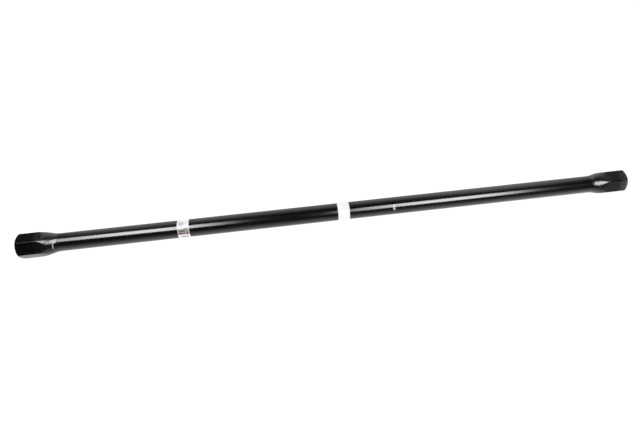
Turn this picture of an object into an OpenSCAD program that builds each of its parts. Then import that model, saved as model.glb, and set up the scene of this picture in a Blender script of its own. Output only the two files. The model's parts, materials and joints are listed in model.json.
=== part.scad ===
// Suspension torsion bar: one spring-steel forging with a hexagonal head on each end,
// a paper label and a band of tape wound round its shaft, and two strokes of marking paint.
// The bar lies along X with its middle at the origin. The left head's top flat faces +Z.
// Places along the bar are distances from the left end face.
// Places round the bar are elevations in degrees: 0 faces -Y, the front, and 90 faces +Z, the top.

/* [Bar] */
// Overall length, from end face to end face
bar_length = 971; // [700:0.5:1400]
// Diameter of the round shaft
shaft_d = 27.5; // [22:0.1:30]

/* [Heads] */
// Width of each hexagon across its flats
hex_af = 34.3; // [33:0.1:38]
// Length of the hexagon's ridges, from the end face to the neck
ridge_length = 33.7; // [25:0.1:60]
// Turn of the right hexagon from the left one, about the bar
head_clocking = 15.3; // [0:0.1:59.9]
// Radius of the turned rounding that leads the hexagon into the round end face
end_round_r = 6; // [4:0.1:8]

/* [Necks] */
// Angle at which the neck's flank falls away from the ridges
neck_angle = 17; // [14:0.1:22]
// Radius of the flank's slight hollow
neck_flank_r = 400; // [200:10:800]
// Radius of the hollow curve that leads the flank into the shaft
neck_fillet_r = 40; // [20:1:45]

/* [Label] */
// Middle of the label, from the left end face
label_at = 246.7; // [100:0.1:270]
// Width of the label along the bar
label_width = 18; // [10:0.5:40]
// Thickness of the paper
label_thick = 0.12; // [0.05:0.01:0.4]
// Length of the lap where the label's ends meet, at the back of the bar
label_lap = 6; // [2:0.5:20]

/* [Tape] */
// Middle of the tape, from the middle of the bar
tape_offset = 11.6; // [-40:0.1:60]
// Width of the tape
tape_width = 18.5; // [10:0.5:40]
// Thickness of the tape
tape_thick = 0.15; // [0.05:0.01:0.4]
// Length of the lap where the tape's ends meet, at the front of the bar
tape_lap = 15; // [2:0.5:25]

/* [Paint] */
// Middle of the stroke on the left neck, from the left end face
neck_stroke_at = 53.5; // [52:0.1:57]
// Middle of the stroke on the shaft, from the middle of the bar
shaft_stroke_offset = 91.6; // [75:0.1:150]
// Width of a stroke along the bar
stroke_width = 2; // [1:0.1:4]
// Thickness of the dried paint
paint_thick = 0.1; // [0.05:0.01:0.3]

/* [Hidden] */
$fn = 96;

shaft_r = shaft_d / 2;
hex_flat_r = hex_af / 2;
hex_ridge_r = hex_af / sqrt(3);

// The flank is an arc from the end of the ridges to the hollow curve, which ends level with the
// shaft. The two arcs meet smoothly at flank_end. Centres are [radius, distance from the end face].
flank_centre = [hex_ridge_r + neck_flank_r * cos(neck_angle), ridge_length + neck_flank_r * sin(neck_angle)];
centre_gap = neck_flank_r - neck_fillet_r;
hollow_r = shaft_r + neck_fillet_r;
head_length = flank_centre[1] - sqrt(centre_gap ^ 2 - (flank_centre[0] - hollow_r) ^ 2);
hollow_centre = [hollow_r, head_length];
flank_end = flank_centre + (hollow_centre - flank_centre) * neck_flank_r / centre_gap;

// The turned shape stands clear of the hexagon's ridges where the hexagon alone is the surface.
ridge_clearance = 0.8;
blank_r = hex_ridge_r + ridge_clearance;

// The strip ends lie at these elevations: the tape's at the front, the label's at the back.
tape_end_elevation = 46;
label_end_elevation = 200;
neck_stroke_elevations = [6, 46];
shaft_stroke_elevations = [6, 52];

// Radius of the hollow curve between flank and shaft, at a distance from the end face
function neck_r(s) = shaft_r + neck_fillet_r - sqrt(neck_fillet_r ^ 2 - (head_length - s) ^ 2);

// Angle that a length of strip takes up round the shaft
function turn_of(length) = length / shaft_r * 180 / PI;

// Stands upright children along the bar, with their foot at a distance from the left end face
module along_bar(at = 0) {
    translate([at - bar_length / 2, 0, 0]) rotate([0, 90, 0]) children();
}

// Turns an outline round the bar from one elevation up to another
module sweep_between(low, high) {
    rotate_extrude(start = 270 - high, angle = high - low) children();
}

// Half of the outline of a head and its neck: a blank with a rounded end, cut away along the
// flank, and then the hollow curve down to the shaft
module head_outline() {
    difference() {
        union() {
            translate([0, end_round_r]) square([blank_r, flank_end[1] - end_round_r]);
            square([blank_r - end_round_r, end_round_r]);
            translate([blank_r - end_round_r, end_round_r]) circle(r = end_round_r);
        }
        translate(flank_centre) circle(r = neck_flank_r, $fn = 2880);
    }
    difference() {
        translate([0, flank_end[1]]) square([flank_end[0], head_length - flank_end[1]]);
        translate(hollow_centre) circle(r = neck_fillet_r, $fn = 360);
    }
}

// A head and its neck: the turned shape cut to a hexagon, with two flats facing up and down
module head() {
    intersection() {
        rotate_extrude() head_outline();
        rotate([0, 0, 30]) cylinder(r = hex_ridge_r, h = head_length, $fn = 6);
    }
}

// The forging. Its heads and shaft are solids that meet face to face where the necks end, so
// that a socket pushed over a head has the whole waist between the heads free round the shaft.
module torsion_bar() {
    color("#161618") along_bar() {
        head();
        translate([0, 0, head_length]) cylinder(r = shaft_r, h = bar_length - 2 * head_length);
        translate([0, 0, bar_length]) rotate([0, 0, head_clocking]) mirror([0, 0, 1]) head();
    }
}

// A strip wound once round the shaft, with its ends lapped from an elevation upwards
module wound_strip(width, thick, end_elevation, lap) {
    rotate_extrude() translate([shaft_r, -width / 2]) square([thick, width]);
    sweep_between(end_elevation, end_elevation + turn_of(lap))
        translate([shaft_r, -width / 2]) square([2 * thick, width]);
}

module part_label() {
    color("white") along_bar(label_at)
        wound_strip(label_width, label_thick, label_end_elevation, label_lap);
}

module marker_tape() {
    color("whitesmoke") along_bar(bar_length / 2 + tape_offset)
        wound_strip(tape_width, tape_thick, tape_end_elevation, tape_lap);
}

// A stroke of paint on a surface whose radius changes evenly from foot_r to top_r
module paint_stroke(foot_r, top_r, elevations) {
    sweep_between(elevations[0], elevations[1]) polygon([
        [foot_r, -stroke_width / 2],
        [foot_r + paint_thick, -stroke_width / 2],
        [top_r + paint_thick, stroke_width / 2],
        [top_r, stroke_width / 2],
    ]);
}

module neck_paint_tick() {
    foot_r = neck_r(neck_stroke_at - stroke_width / 2);
    top_r = neck_r(neck_stroke_at + stroke_width / 2);
    color("ghostwhite") along_bar(neck_stroke_at)
        paint_stroke(foot_r, top_r, neck_stroke_elevations);
}

module shaft_paint_tick() {
    color("ghostwhite") along_bar(bar_length / 2 + shaft_stroke_offset)
        paint_stroke(shaft_r, shaft_r, shaft_stroke_elevations);
}

torsion_bar();
part_label();
marker_tape();
neck_paint_tick();
shaft_paint_tick();
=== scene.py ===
"""Looks for a suspension torsion bar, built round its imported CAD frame.

The bar lies along X with its middle at the origin. Lengths are in metres. A place along the bar is
an X, or a distance s from the nearer end face. A place round the bar is an elevation in degrees:
0 faces -Y, the front, and 90 faces +Z, the top.
"""

import json
from math import atan2, cos, degrees, hypot, pi, radians, sin, sqrt, tan

import bmesh
import bpy
from mathutils import Matrix, Vector, noise


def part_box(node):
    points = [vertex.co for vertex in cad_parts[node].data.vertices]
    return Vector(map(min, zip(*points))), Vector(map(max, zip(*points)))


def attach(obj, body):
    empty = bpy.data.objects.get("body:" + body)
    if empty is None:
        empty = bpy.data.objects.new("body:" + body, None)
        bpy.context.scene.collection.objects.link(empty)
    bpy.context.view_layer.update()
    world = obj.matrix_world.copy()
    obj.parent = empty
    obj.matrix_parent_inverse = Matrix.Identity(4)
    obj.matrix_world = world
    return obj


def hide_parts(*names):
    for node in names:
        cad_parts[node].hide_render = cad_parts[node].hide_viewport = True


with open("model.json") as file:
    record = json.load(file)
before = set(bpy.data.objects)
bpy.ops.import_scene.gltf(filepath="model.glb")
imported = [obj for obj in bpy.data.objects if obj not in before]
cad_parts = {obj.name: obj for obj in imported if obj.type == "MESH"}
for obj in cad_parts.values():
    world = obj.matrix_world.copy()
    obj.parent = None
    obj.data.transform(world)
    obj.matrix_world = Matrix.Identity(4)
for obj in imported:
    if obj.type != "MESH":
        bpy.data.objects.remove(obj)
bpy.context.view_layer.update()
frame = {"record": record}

MM = 0.001
BODY = "root"

# ---------------------------------------------------------------- dimensions from the frame

bar_low, bar_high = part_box("torsion_bar")
label_low, label_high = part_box("part_label")
tape_low, tape_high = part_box("marker_tape")
neck_tick_low, neck_tick_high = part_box("neck_paint_tick")
shaft_tick_low, shaft_tick_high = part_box("shaft_paint_tick")
right_flat = next(m for m in frame["record"]["mounts"] if m["name"] == "right_lower_flat")

BAR_LENGTH = bar_high.x - bar_low.x
RIDGE_R = bar_high.y
FLAT_R = RIDGE_R * sqrt(3) / 2
CLOCKING = degrees(atan2(right_flat["axis"][1], -right_flat["axis"][2]))

# ---------------------------------------------------------------- driving dimensions of the looks

LABEL_THICK = 0.12 * MM
TAPE_THICK = 0.15 * MM
SHAFT_R = -label_low.y - LABEL_THICK

# The turned shape of a head: a rounded nose, a full hexagon, a slightly hollow flank that falls
# away from the ridges, and a hollow curve into the shaft
END_ROUND = 6 * MM
RIDGE_CLEARANCE = 0.8 * MM
RIDGE_LENGTH = 33.7 * MM
FLANK_ANGLE = radians(17)
FLANK_R = 400 * MM
HOLLOW_R = 40 * MM

# Softened edges of the forging. Where the turned shape and the hexagon cross, the rounding is
# NOSE_BLEND at the end face, and FLANK_BLEND more from BLEND_FULL on. From BLEND_CLOSING, a share of
# the head's length, it closes up toward the shaft.
RIDGE_ROUND = 0.9 * MM
NOSE_BLEND = 0.3 * MM
FLANK_BLEND = 1.2 * MM
BLEND_FULL = END_ROUND + 4 * MM
BLEND_CLOSING = 0.8

# Unevenness left by forging and by the coat: how deep it is, how wide its bumps are, and how many
# times longer than wide they are along the bar
NECK_GRAIN = (0.12 * MM, 2.6 * MM, 1)
HEAD_GRAIN = (0.04 * MM, 8 * MM, 1)
COAT_GRAIN = (0.012 * MM, 16 * MM, 2.5)

# Where each strip's outer end lies, and how far it laps over its start, in degrees
LABEL_END, LABEL_LAP = 200, 25
TAPE_END, TAPE_LAP = 46, 64

# The right head has a painted reflection toward its end face: a lighter purple-grey patch painted
# into the coat over the length given first. It is whole below the lower height, and the share given
# last is left of it above the upper height.
PAINTED_REFLECTION_LENGTH = 17 * MM
PAINTED_REFLECTION_LOW, PAINTED_REFLECTION_HIGH, PAINTED_REFLECTION_TOP_SHARE = 9 * MM, 20 * MM, 0.2

# The coat's roughness where it is glossiest and where it is dullest, and what a neck adds to it
COAT_ROUGHNESS = (0.13, 0.18)
NECK_ROUGHNESS = 0.08


def spoke(elevation):
    """The unit vector out of the bar's axis at an elevation."""
    a = radians(elevation)
    return Vector((0, -cos(a), sin(a)))


def arc_length(elevation):
    """How far up the shaft's surface an elevation is from the front."""
    return SHAFT_R * radians(elevation)


def smooth(low, high, value):
    """0 on low's side, 1 on high's side, and an S-curve between."""
    t = min(max((value - low) / (high - low), 0), 1)
    return t * t * (3 - 2 * t)


def waviness(point, size, stretch):
    """Smooth noise from -1 to 1. Its bumps are about size across, and stretch times that along X."""
    return noise.noise(Vector((point.x / (size * stretch), point.y / size, point.z / size)))


# ---------------------------------------------------------------- meshes

def loft(name, sections, material, uv=None):
    """A closed mesh through loops of points, with the first and last loop filled."""
    count = len(sections[0])
    last = count * (len(sections) - 1)
    faces = []
    for start in range(0, last, count):
        for i in range(count):
            j = (i + 1) % count
            faces.append((start + i, start + j, start + count + j, start + count + i))
    faces += [tuple(range(count)), tuple(range(last, last + count))]
    mesh = bpy.data.meshes.new(name)
    mesh.from_pydata([point for section in sections for point in section], [], faces)
    if uv:
        layer = mesh.uv_layers.new(name="strip")
        places = [place for section in uv for place in section]
        for loop in mesh.loops:
            layer.data[loop.index].uv = places[loop.vertex_index]
    solid = bmesh.new()
    solid.from_mesh(mesh)
    bmesh.ops.recalc_face_normals(solid, faces=solid.faces)
    solid.to_mesh(mesh)
    solid.free()
    mesh.polygons.foreach_set("use_smooth", [True] * len(mesh.polygons))
    mesh.materials.append(material)
    piece = bpy.data.objects.new(name, mesh)
    bpy.context.scene.collection.objects.link(piece)
    return piece


def finish_piece(piece, node):
    """Puts a piece in its CAD node's place."""
    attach(piece, BODY)
    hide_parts(node)


# ---------------------------------------------------------------- the forging

# Centres of the flank's and the hollow curve's arcs: radius, and distance from the end face
flank_x = RIDGE_R + FLANK_R * cos(FLANK_ANGLE)
flank_s = RIDGE_LENGTH + FLANK_R * sin(FLANK_ANGLE)
hollow_x = SHAFT_R + HOLLOW_R
HEAD_LENGTH = flank_s - sqrt((FLANK_R - HOLLOW_R) ** 2 - (flank_x - hollow_x) ** 2)
FLANK_END = flank_s + (HEAD_LENGTH - flank_s) * FLANK_R / (FLANK_R - HOLLOW_R)

# Distances from the end face between which the forging marks fade in from the shaft, and between
# which the neck's coarser ones fade in from the hexagon
FORGED_FADE = (HEAD_LENGTH + 20 * MM, HEAD_LENGTH - 15 * MM)
NECK_FADE = (RIDGE_LENGTH - 8 * MM, RIDGE_LENGTH + 4 * MM)


def turned_radius(s):
    """Radius of the turned shape at a distance from the end face."""
    if s >= HEAD_LENGTH:
        return SHAFT_R
    if s >= FLANK_END:
        return hollow_x - sqrt(HOLLOW_R ** 2 - (s - HEAD_LENGTH) ** 2)
    flank = flank_x - sqrt(FLANK_R ** 2 - (s - flank_s) ** 2)
    nose = RIDGE_R + RIDGE_CLEARANCE
    if s < END_ROUND:
        nose += sqrt(END_ROUND ** 2 - (END_ROUND - s) ** 2) - END_ROUND
    return min(flank, nose)


def hexagon_radius(turn):
    """Radius of the hexagon, with rounded ridges, at a turn in degrees from the middle of a flat."""
    off = abs((turn + 30) % 60 - 30)
    inner = FLAT_R - RIDGE_ROUND
    half_flat = inner * tan(radians(30))
    if off <= degrees(atan2(half_flat, FLAT_R)):
        return FLAT_R / cos(radians(off))
    reach = hypot(inner, half_flat)
    apart = radians(off - 30)
    return reach * cos(apart) + sqrt(RIDGE_ROUND ** 2 - (reach * sin(apart)) ** 2)


def forging_radius(s, turn):
    """The smaller of the turned and the hexagon's radius, with their crossing rounded off."""
    turned = turned_radius(s)
    if s >= HEAD_LENGTH:
        return turned
    flats = hexagon_radius(turn)
    blend = NOSE_BLEND + FLANK_BLEND * smooth(0, BLEND_FULL, s)
    # 1.001 keeps the blend above 0, because the next line divides by it
    blend *= 1.001 - smooth(BLEND_CLOSING, 1, s / HEAD_LENGTH)
    near = max(1 - abs(turned - flats) / blend, 0)
    return min(turned, flats) - near * near * blend / 4


def forging_point(s_left, turn):
    """A point of the forging's skin, at a distance from the left end face and a turn in degrees.

    Turn 0 is the middle of each head's upper flat. The mesh winds along the shaft between the two.
    """
    s = min(s_left, BAR_LENGTH - s_left)
    wound = CLOCKING * smooth(HEAD_LENGTH, BAR_LENGTH - HEAD_LENGTH, s_left)
    axis = Vector((s_left - BAR_LENGTH / 2, 0, 0))
    out = spoke(90 + turn - wound)
    radius = forging_radius(s, turn)
    skin = axis + out * radius
    forged = smooth(*FORGED_FADE, s)
    neck = forged * smooth(*NECK_FADE, s)
    for (depth, size, stretch), share in ((NECK_GRAIN, neck), (HEAD_GRAIN, forged), (COAT_GRAIN, 1)):
        radius += depth * share * waviness(skin, size, stretch)
    return axis + out * radius


def forging_turns(per_side=14, crowding=2.2):
    """Turns round the bar, close together at the ridges and wide apart on the flats."""
    turns = []
    for flat in range(6):
        for i in range(-per_side, per_side):
            gap = 30 * (1 - abs(i) / per_side) ** crowding
            turns.append(60 * flat + (30 - gap if i >= 0 else gap - 30))
    return turns


def evenly(low, high, count):
    """Places above low, up to and with high."""
    return [low + (high - low) * i / count for i in range(1, count + 1)]


def forging(material):
    """One forging: two rounded hexagonal heads, their necks and the shaft."""
    nose_rings, ridge_rings, neck_rings, shaft_rings = 14, 18, 64, 70
    fine_from = RIDGE_LENGTH - 5 * MM
    half = [0] + [END_ROUND * (1 - cos(q)) for q in evenly(0, pi / 2, nose_rings)]
    half += evenly(END_ROUND, fine_from, ridge_rings)
    half += evenly(fine_from, HEAD_LENGTH, neck_rings)
    half += evenly(HEAD_LENGTH, BAR_LENGTH / 2, shaft_rings)
    stations = half + [BAR_LENGTH - s for s in reversed(half[:-1])]
    turns = forging_turns()
    rings = [[forging_point(s, turn) for turn in turns] for s in stations]

    def shrunk(ring, share):
        middle = Vector((ring[0].x, 0, 0))
        return [middle + (point - middle) * share for point in ring]

    face_shares = (0.01, 0.35, 0.7, 0.93)
    left_face = [shrunk(rings[0], share) for share in face_shares]
    right_face = [shrunk(rings[-1], share) for share in reversed(face_shares)]
    return loft("forging", left_face + rings + right_face, material)


# ---------------------------------------------------------------- wound strips

def wound_strip(name, low, high, thick, end, lap, lift, slide, creases, material):
    """A strip wound once round the shaft, downwards, with its outer end lapped over its start.

    The outer end lies at the elevation end. It stands up by lift at its right edge and less at its
    left, and it has slid along the bar by slide. The creases are up to that high. Turns are in degrees.
    """
    ramp, peel, slide_from = 8, 12, 300
    layer = thick * 1.05
    edge_round = thick * 0.3
    crease_size, crease_stretch = 5 * MM, 0.6
    width = high - low
    total = 360 + lap
    columns = 24
    steps = total // 2
    sections, uvs = [], []
    for i in range(steps + 1):
        run = total * i / steps
        climb = layer * smooth(360 - ramp, 360, run)
        raised = lift * smooth(total - peel, total, run) ** 2
        moved = slide * smooth(slide_from, total, run)
        elevation = end + lap - run
        out = spoke(elevation)
        under, over, across = [], [], []
        for j in range(columns + 1):
            share = j / columns
            along = Vector((low + width * share + moved, 0, 0))
            wave = waviness(along + out * SHAFT_R, crease_size, crease_stretch)
            puff = creases * (0.5 + 0.5 * wave) * sin(pi * share)
            inner = SHAFT_R + climb + puff + raised * (0.4 + 0.6 * share)
            thinner = edge_round * (share in (0, 1))
            under.append(along + out * (inner + thinner))
            over.append(along + out * (inner + thick - thinner))
            across.append((width * share, arc_length(elevation)))
        sections.append(under + over[::-1])
        uvs.append(across + across[::-1])
    return loft(name, sections, material, uv=uvs)


# ---------------------------------------------------------------- paint strokes

def paint_stroke(name, path, surface, material, steps):
    """A raised dab of paint along a path on the bar, with ragged edges and rounded ends.

    path(t) gives, for t from 0 to 1, an X, an elevation, a half width and a thickness.
    surface(x) gives the radius that the paint lies on. Its foot is sunk below that.
    """
    columns = 10
    film = 0.01 * MM
    sunk = 0.08 * MM
    raggedness, bites = 0.22, 9
    sections = []
    for i in range(steps + 1):
        t = i / steps
        x, elevation, half, thick = path(t)
        x_before, elevation_before, _, _ = path(max(t - 0.01, 0))
        x_after, elevation_after, _, _ = path(min(t + 0.01, 1))
        heading = Vector((x_after - x_before, arc_length(elevation_after - elevation_before)))
        side = Vector((heading.y, -heading.x)).normalized()
        taper = sqrt(max(1 - abs(2 * t - 1) ** 6, 0)) + 0.02
        ragged = raggedness * noise.noise(Vector((t * bites, 3.1, half / MM)))
        top, foot = [], []
        for j in range(columns + 1):
            share = 2 * j / columns - 1
            reach = half * taper * share * (1 + ragged if share > 0 else 1 - ragged)
            point_x = x + side.x * reach
            out = spoke(elevation + degrees(side.y * reach / SHAFT_R))
            bead = thick * taper * (1 - share ** 4) * (0.75 + 0.25 * share * share)
            axis = Vector((point_x, 0, 0))
            top.append(axis + out * (surface(point_x) + film + bead))
            foot.append(axis + out * (surface(point_x) - sunk))
        sections.append(top + foot[::-1])
    return loft(name, sections, material)


# ---------------------------------------------------------------- shader nodes

def add_node(tree, kind, inputs=None, **settings):
    """A node with its settings, and with values or links in its sockets."""
    node = tree.nodes.new("ShaderNode" + kind)
    for key, value in settings.items():
        setattr(node, key, value)
    for key, value in (inputs or {}).items():
        if isinstance(value, bpy.types.NodeSocket):
            tree.links.new(value, node.inputs[key])
        else:
            node.inputs[key].default_value = value
    return node


def calc(tree, operation, *values):
    """A Math node's result."""
    return add_node(tree, "Math", dict(enumerate(values)), operation=operation).outputs[0]


def blend_colour(tree, share, first, second):
    """First where share is 0 and second where it is 1."""
    return add_node(tree, "Mix", {0: share, 6: first, 7: second}, data_type="RGBA").outputs[2]


def remap(tree, value, from_low, from_high, to_low=0.0, to_high=1.0):
    """A value carried from one range to another, and held inside it."""
    inputs = {0: value, 1: from_low, 2: from_high, 3: to_low, 4: to_high}
    return add_node(tree, "MapRange", inputs).outputs[0]


def speckle(tree, place, scale, detail=2.0):
    """Noise from 0 to 1, with scale bumps to the metre."""
    return add_node(tree, "TexNoise", {"Vector": place, "Scale": scale, "Detail": detail}).outputs[0]


def stretched(tree, place, scale):
    """Coordinates scaled apart along X, Y and Z."""
    return add_node(tree, "Mapping", {"Vector": place, "Scale": scale}).outputs[0]


def grey(level):
    return (level, level, level, 1)


def new_material(name, roughness=0.5, colour=grey(0.8)):
    """A material, its node tree and its Principled shader."""
    material = bpy.data.materials.new(name)
    material.use_nodes = True
    tree = material.node_tree
    shader = next(n for n in tree.nodes if n.type == "BSDF_PRINCIPLED")
    shader.inputs["Roughness"].default_value = roughness
    shader.inputs["Base Color"].default_value = colour
    return material, tree, shader


def bump(tree, shader, height, depth):
    """Bumps of a depth in metres on the shader's surface."""
    node = add_node(tree, "Bump", {"Height": height, "Distance": depth})
    tree.links.new(node.outputs[0], shader.inputs["Normal"])


# ---------------------------------------------------------------- materials

def black_coat():
    """Glossy black enamel on forged steel, rougher on the necks, with a painted reflection near the
    right end: a lighter purple-grey patch on its lower side.

    It has patches of duller gloss, drawn out along the bar, and specks of dust.
    """
    material, tree, shader = new_material("black_coat")
    place = add_node(tree, "TexCoord").outputs["Object"]
    along = stretched(tree, place, (0.12, 1, 1))
    dulling = speckle(tree, along, 60, 4.0)
    split = add_node(tree, "SeparateXYZ", {0: place})
    x, z = split.outputs[0], split.outputs[2]
    end = BAR_LENGTH / 2

    colour = blend_colour(tree, dulling, (0.0016, 0.0016, 0.0018, 1), (0.0028, 0.0028, 0.0031, 1))
    dust = remap(tree, speckle(tree, place, 1400, 0.0), 0.74, 0.80)
    colour = blend_colour(tree, dust, colour, grey(0.05))
    # Painted reflection: a lighter purple-grey patch toward the right end face, whole on the lower side
    # and fainter above
    toward_end = remap(tree, x, end - PAINTED_REFLECTION_LENGTH, end - 1 * MM)
    lower_side = remap(tree, z, PAINTED_REFLECTION_HIGH, PAINTED_REFLECTION_LOW, PAINTED_REFLECTION_TOP_SHARE, 1.0)
    patchy = remap(tree, speckle(tree, place, 220), 0.3, 0.6, 0.3, 1.0)
    painted_reflection = calc(tree, "MULTIPLY", calc(tree, "MULTIPLY", toward_end, lower_side), patchy)
    colour = blend_colour(tree, painted_reflection, colour, (0.085, 0.078, 0.09, 1))
    tree.links.new(colour, shader.inputs["Base Color"])

    from_middle = calc(tree, "ABSOLUTE", x)
    past_shaft = remap(tree, from_middle, end - HEAD_LENGTH, end - FLANK_END)
    ridges_from, fade = end - RIDGE_LENGTH, 10 * MM
    before_head = remap(tree, from_middle, ridges_from, ridges_from + fade, 1.0, 0.0)
    neck = calc(tree, "MULTIPLY", past_shaft, before_head)
    rough = remap(tree, dulling, 0.3, 0.7, *COAT_ROUGHNESS)
    rough = calc(tree, "ADD", rough, calc(tree, "MULTIPLY", neck, NECK_ROUGHNESS))
    tree.links.new(rough, shader.inputs["Roughness"])

    forged = calc(tree, "MULTIPLY", speckle(tree, along, 160), 0.85)
    orange_peel = calc(tree, "MULTIPLY", speckle(tree, place, 650, 1.0), 0.15)
    bump(tree, shader, calc(tree, "ADD", forged, orange_peel), 0.012 * MM)
    return material


def box_mask(tree, across, up, left, right, bottom, top):
    """1 inside a rectangle of the strip and 0 outside it. Its sides are in millimetres."""
    inside_x = calc(tree, "COMPARE", across, (left + right) / 2 * MM, (right - left) / 2 * MM)
    inside_y = calc(tree, "COMPARE", up, (bottom + top) / 2 * MM, (top - bottom) / 2 * MM)
    return calc(tree, "MULTIPLY", inside_x, inside_y)


def printed_cells(tree, across, up, cell_x, cell_y, share):
    """1 in a random share of the cells of a grid. The cell sizes are in millimetres."""
    column = calc(tree, "FLOOR", calc(tree, "DIVIDE", across, cell_x * MM))
    row = calc(tree, "FLOOR", calc(tree, "DIVIDE", up, cell_y * MM))
    cell = add_node(tree, "CombineXYZ", {0: column, 1: row}).outputs[0]
    value = add_node(tree, "TexWhiteNoise", {"Vector": cell}, noise_dimensions="2D").outputs[0]
    return calc(tree, "LESS_THAN", value, share)


# The label's generic print. Each row is a rectangle in millimetres across the label from its left
# edge and up from the bar's front, a colour, and the width, height and printed share of its cells.
LABEL_PRINT = (
    # code block and the rule beside it
    (2.4, 10.3, 13.2, 22.3, (0.43, 0.42, 0.50), 0.68, 0.68, 0.62),
    (13.0, 13.6, 13.2, 23.4, (0.48, 0.52, 0.49), 1, 1, 1),
    # tinted panel with a blotch, a green bar, a short bar and a brown bar on it
    (0.0, 17.6, 0.4, 12.0, (0.48, 0.42, 0.39), 1, 1, 1),
    (10.6, 14.6, 8.9, 11.4, (0.20, 0.16, 0.135), 0.6, 8, 0.85),
    (0.7, 12.0, 5.4, 9.0, (0.11, 0.13, 0.115), 1.2, 8, 0.97),
    (13.4, 16.6, 5.4, 8.8, (0.22, 0.18, 0.165), 0.8, 8, 0.85),
    (0.7, 16.8, 1.4, 4.7, (0.17, 0.13, 0.12), 0.9, 8, 0.96),
    # line of dashes
    (4.2, 15.6, -6.2, -3.0, (0.13, 0.12, 0.125), 0.75, 8, 0.92),
)


def label_paper():
    """White label stock with a generic print: a block of random dots, rules and bars, and no text."""
    material, tree, shader = new_material("label_paper", 0.42)
    uv = add_node(tree, "UVMap", uv_map="strip").outputs[0]
    split = add_node(tree, "SeparateXYZ", {0: uv})
    across, up = split.outputs[0], split.outputs[1]
    place = add_node(tree, "TexCoord").outputs["Object"]
    fibre = speckle(tree, place, 1500, 3.0)
    colour = blend_colour(tree, fibre, (0.86, 0.86, 0.87, 1), grey(0.93))
    for left, right, bottom, top, ink, cell_x, cell_y, share in LABEL_PRINT:
        mask = box_mask(tree, across, up, left, right, bottom, top)
        if share < 1:
            mask = calc(tree, "MULTIPLY", mask, printed_cells(tree, across, up, cell_x, cell_y, share))
        colour = blend_colour(tree, mask, colour, (*ink, 1))
    tree.links.new(colour, shader.inputs["Base Color"])
    bump(tree, shader, fibre, 0.01 * MM)
    return material


def white_tape():
    """White vinyl tape, a little glossy, with soft creases across it, and painted shade that makes it
    greyer in the creases.
    """
    material, tree, shader = new_material("white_tape")
    place = add_node(tree, "TexCoord").outputs["Object"]
    creases = remap(tree, speckle(tree, stretched(tree, place, (0.15, 1, 1)), 260, 3.0), 0.3, 0.7)
    # Painted shade: the tape's colour goes darker grey in the creases
    tree.links.new(blend_colour(tree, creases, grey(0.84), grey(0.98)), shader.inputs["Base Color"])
    tree.links.new(remap(tree, creases, 0.0, 1.0, 0.32, 0.46), shader.inputs["Roughness"])
    bump(tree, shader, speckle(tree, place, 420), 0.02 * MM)
    return material


def marking_paint(name, thin, thick):
    """White marking paint, streaked round the bar between two greys that say how well it covers."""
    material, tree, shader = new_material(name)
    place = add_node(tree, "TexCoord").outputs["Object"]
    streaks = speckle(tree, stretched(tree, place, (1, 0.25, 0.25)), 2200)
    covered = remap(tree, streaks, 0.35, 0.6)
    tree.links.new(blend_colour(tree, covered, grey(thin), grey(thick)), shader.inputs["Base Color"])
    bump(tree, shader, streaks, 0.03 * MM)
    return material


# ---------------------------------------------------------------- the pieces

def neck_stroke_path(t):
    """One thin downward stroke, broad and heavy at its top and drifting to the left."""
    middle = (neck_tick_low.x + neck_tick_high.x) / 2
    heavy = smooth(0.35, 0, t)
    return middle + (0.8 - 1.7 * t) * MM, 47 - 42 * t, (0.95 + 0.4 * heavy) * MM, 0.09 * MM


def neck_surface(x):
    return turned_radius(x + BAR_LENGTH / 2)


def shaft_stroke_path(t):
    """A narrow open loop, heavy on its way down on the left and faint on its way back up."""
    middle = (shaft_tick_low.x + shaft_tick_high.x) / 2
    angle = radians(50 + 320 * t)
    heavy = smooth(0.62, 0.45, t)
    x = middle + (1.4 + 1.5 * cos(angle)) * MM
    return x, 30 + 18 * sin(angle), (0.3 + 0.6 * heavy) * MM, (0.03 + 0.05 * heavy) * MM


def shaft_surface(_x):
    return SHAFT_R


def build_pieces():
    finish_piece(forging(black_coat()), "torsion_bar")

    label = wound_strip(
        "label", label_low.x, label_high.x, LABEL_THICK, LABEL_END, LABEL_LAP,
        lift=0.15 * MM, slide=0, creases=0.01 * MM, material=label_paper(),
    )
    finish_piece(label, "part_label")

    band = wound_strip(
        "tape", tape_low.x, tape_high.x, TAPE_THICK, TAPE_END, TAPE_LAP,
        lift=0.05 * MM, slide=0.1 * MM, creases=0.04 * MM, material=white_tape(),
    )
    finish_piece(band, "marker_tape")

    thin_paint = marking_paint("paint_thin", thin=0.12, thick=0.42)
    neck_tick = paint_stroke("neck_tick", neck_stroke_path, neck_surface, thin_paint, steps=48)
    finish_piece(neck_tick, "neck_paint_tick")

    thick_paint = marking_paint("paint_thick", thin=0.5, thick=0.9)
    shaft_tick = paint_stroke("shaft_tick", shaft_stroke_path, shaft_surface, thick_paint, steps=96)
    finish_piece(shaft_tick, "shaft_paint_tick")


# ---------------------------------------------------------------- camera, floor and light

CAMERA_AIM = Vector((-0.0254, 0, 0.0003))
CAMERA_DISTANCE = 0.760
CAMERA_AZIMUTH, CAMERA_ELEVATION, CAMERA_ROLL = -6.34, 43.98, -1.86
CAMERA_LENS, CAMERA_SENSOR = 26.76, 36

FLOOR_REACH = 6

# The softboxes face the bar's axis square on
SOFTBOX_DISTANCE = 1.0
SOFTBOX_RADIANCE = 18

# Elevations round the bar's axis, from -180 to 180, and how bright the studio is there
STUDIO = (
    (-180, 0.95), (-168, 0.55), (-155, 0.25), (-122, 0.25), (-108, 1.0), (-60, 1.5),
    (-40, 1.25), (-27, 0.9), (-12, 0.33), (2, 0.1), (20, 0.03), (85, 0.05), (100, 0.2),
    (116, 0.7), (134, 1.25), (155, 1.3), (180, 0.95),
)

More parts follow.
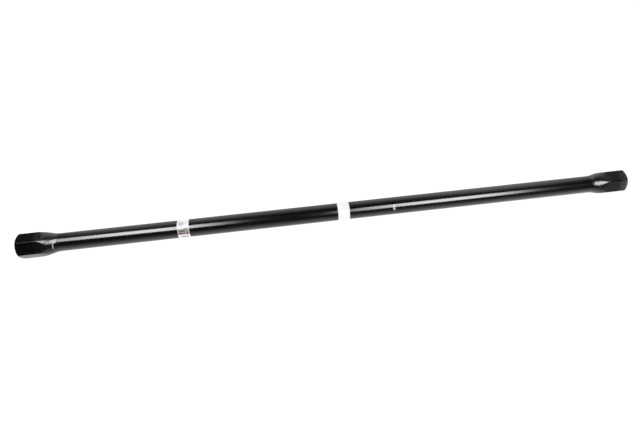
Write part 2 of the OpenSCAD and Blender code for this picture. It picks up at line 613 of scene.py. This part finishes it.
# The studio also changes with a direction's X, which runs from -1 to 1 along the bar. Above the
# horizon only a share of its light is left past each end's span.
LEFT_DIM_SPAN, LEFT_DIM_SHARE = (-0.43, -0.37), 0.02
RIGHT_DIM_SPAN, RIGHT_DIM_SHARE = (0.45, 0.6), 0.55

# Behind the bar's right part, past an elevation, the light hangs lower by BACKLIGHT_DROP degrees
# and is brighter by a share. That fades in over the first span and out over the second.
BACKLIGHT_SPANS = (0.27, 0.38), (0.52, 0.55)
BACKLIGHT_FROM = 45.0
BACKLIGHT_DROP = 14.0
BACKLIGHT_GAIN = 0.25


def make_camera():
    a, e = radians(CAMERA_AZIMUTH), radians(CAMERA_ELEVATION)
    back = Vector((sin(a) * cos(e), -cos(a) * cos(e), sin(e)))
    data = bpy.data.cameras.new("camera")
    data.lens, data.sensor_width = CAMERA_LENS, CAMERA_SENSOR
    data.clip_start, data.clip_end = 0.01, 100
    camera = bpy.data.objects.new("camera", data)
    camera.matrix_world = (
        Matrix.Translation(CAMERA_AIM + back * CAMERA_DISTANCE)
        @ (-back).to_track_quat("-Z", "Y").to_matrix().to_4x4()
        @ Matrix.Rotation(radians(CAMERA_ROLL), 4, "Z")
    )
    bpy.context.scene.collection.objects.link(camera)
    bpy.context.scene.camera = camera


def flat_card(name, centre, side, up, material):
    """A flat four-sided card that faces side x up. They are half its width and half its height."""
    mesh = bpy.data.meshes.new(name)
    corners = [centre + side * i + up * j for i, j in ((-1, -1), (1, -1), (1, 1), (-1, 1))]
    mesh.from_pydata(corners, [], [(0, 1, 2, 3)])
    mesh.materials.append(material)
    card = bpy.data.objects.new(name, mesh)
    bpy.context.scene.collection.objects.link(card)
    return card


def softbox(name, x, elevation, reach, soft, height, slant=0):
    """A light at an X and an elevation round the bar. It shows only where it is mirrored.

    It reaches from reach[0] to reach[1] along the bar from there, and its light fades out over
    soft[0] and soft[1] at those two ends. It runs down toward +X by slant degrees.
    """
    material = bpy.data.materials.new(name)
    material.use_nodes = True
    tree = material.node_tree
    tree.nodes.clear()
    surface = add_node(tree, "NewGeometry")
    place = add_node(tree, "SeparateXYZ", {0: surface.outputs["Position"]}).outputs[0]
    low, high = x + reach[0], x + reach[1]
    near_low = remap(tree, place, low, low + soft[0])
    near_high = remap(tree, place, high - soft[1], high, 1.0, 0.0)
    front = calc(tree, "SUBTRACT", 1.0, surface.outputs["Backfacing"])
    share = calc(tree, "MULTIPLY", front, calc(tree, "MULTIPLY", near_low, near_high))
    light = add_node(tree, "Emission", {"Strength": calc(tree, "MULTIPLY", share, SOFTBOX_RADIANCE)})
    tree.links.new(light.outputs[0], add_node(tree, "OutputMaterial").inputs[0])

    up = spoke(elevation + 90)
    along = Vector((1, 0, 0)) - up * tan(radians(slant))
    middle = Vector((x, 0, 0)) + spoke(elevation) * SOFTBOX_DISTANCE
    middle += along * (reach[0] + reach[1]) / 2
    card = flat_card(name, middle, along * (reach[0] - reach[1]) / 2, up * height / 2, material)
    card.visible_camera = False
    card.visible_diffuse = False


def make_floor():
    """A white floor, tilted so that both heads rest on it. It isn't mirrored in them."""
    left_foot = Vector((bar_low.x, 0, -FLAT_R))
    right_foot = Vector((bar_high.x, 0, bar_low.z))
    slope = (right_foot - left_foot).normalized()
    material, _, shader = new_material("floor", 0.9, grey(0.1))
    shader.inputs["Specular IOR Level"].default_value = 0
    shader.inputs["Emission Color"].default_value = grey(1)
    shader.inputs["Emission Strength"].default_value = 1
    material.cycles.emission_sampling = "NONE"
    middle = (left_foot + right_foot) / 2
    floor = flat_card("floor", middle, slope * FLOOR_REACH, Vector((0, FLOOR_REACH, 0)), material)
    floor.visible_glossy = False


def make_world():
    """Soft surroundings: pale below and behind, dark in front and overhead.

    They are dimmer toward both ends of the bar, and lower and brighter behind its right part. They
    show only where they are mirrored: the camera and matt surfaces meet plain white.
    """
    world = bpy.data.worlds.new("studio")
    world.use_nodes = True
    bpy.context.scene.world = world
    tree = world.node_tree
    tree.nodes.clear()
    direction = add_node(tree, "TexCoord").outputs["Generated"]
    split = add_node(tree, "SeparateXYZ", {0: direction})
    x, y, z = split.outputs[0], split.outputs[1], split.outputs[2]
    elevation = calc(tree, "DEGREES", calc(tree, "ARCTAN2", z, calc(tree, "MULTIPLY", y, -1.0)))

    brightest = max(level for _, level in STUDIO)
    fade_in, fade_out = BACKLIGHT_SPANS
    at_right = calc(tree, "MULTIPLY", remap(tree, x, *fade_in), remap(tree, x, *fade_out, 1.0, 0.0))
    past = calc(tree, "GREATER_THAN", elevation, BACKLIGHT_FROM)
    behind = calc(tree, "MULTIPLY", at_right, past)
    lowered = calc(tree, "ADD", elevation, calc(tree, "MULTIPLY", behind, BACKLIGHT_DROP))
    ramp = add_node(tree, "ValToRGB", {0: remap(tree, lowered, -180.0, 180.0)})
    elements = ramp.color_ramp.elements
    while len(elements) < len(STUDIO):
        elements.new(0.5)
    for element, (stop, level) in zip(elements, STUDIO):
        element.position = (stop + 180) / 360
        element.color = grey(level / brightest)

    left_end = remap(tree, x, *LEFT_DIM_SPAN, LEFT_DIM_SHARE, 1.0)
    right_end = remap(tree, x, *RIGHT_DIM_SPAN, 1.0, RIGHT_DIM_SHARE)
    ends = calc(tree, "MULTIPLY", left_end, right_end)
    above = remap(tree, z, 0.0, 0.1)
    darker = calc(tree, "MULTIPLY", above, calc(tree, "SUBTRACT", ends, 1.0))
    strength = calc(tree, "MULTIPLY", calc(tree, "ADD", 1.0, darker), brightest)
    gain = calc(tree, "ADD", 1.0, calc(tree, "MULTIPLY", behind, BACKLIGHT_GAIN))
    strength = calc(tree, "MULTIPLY", strength, gain)
    studio = add_node(tree, "Background", {"Color": ramp.outputs[0], "Strength": strength})
    plain = add_node(tree, "Background", {"Color": grey(1), "Strength": 1.0})
    path = add_node(tree, "LightPath")
    plainly = calc(tree, "MAXIMUM", path.outputs["Is Camera Ray"], path.outputs["Is Diffuse Ray"])
    either = add_node(tree, "MixShader", {0: plainly, 1: studio.outputs[0], 2: plain.outputs[0]})
    tree.links.new(either.outputs[0], add_node(tree, "OutputWorld").inputs[0])


make_camera()
build_pieces()
make_floor()
make_world()
softbox(
    "softbox_left", x=-0.632, elevation=63,
    reach=(-0.46, 0.39), soft=(0.42, 0.21), height=0.66, slant=24,
)
softbox(
    "softbox_right", x=0.51, elevation=41.5,
    reach=(-0.43, 0.365), soft=(0.31, 0.16), height=0.64,
)
bpy.context.scene.view_settings.view_transform = "Standard"
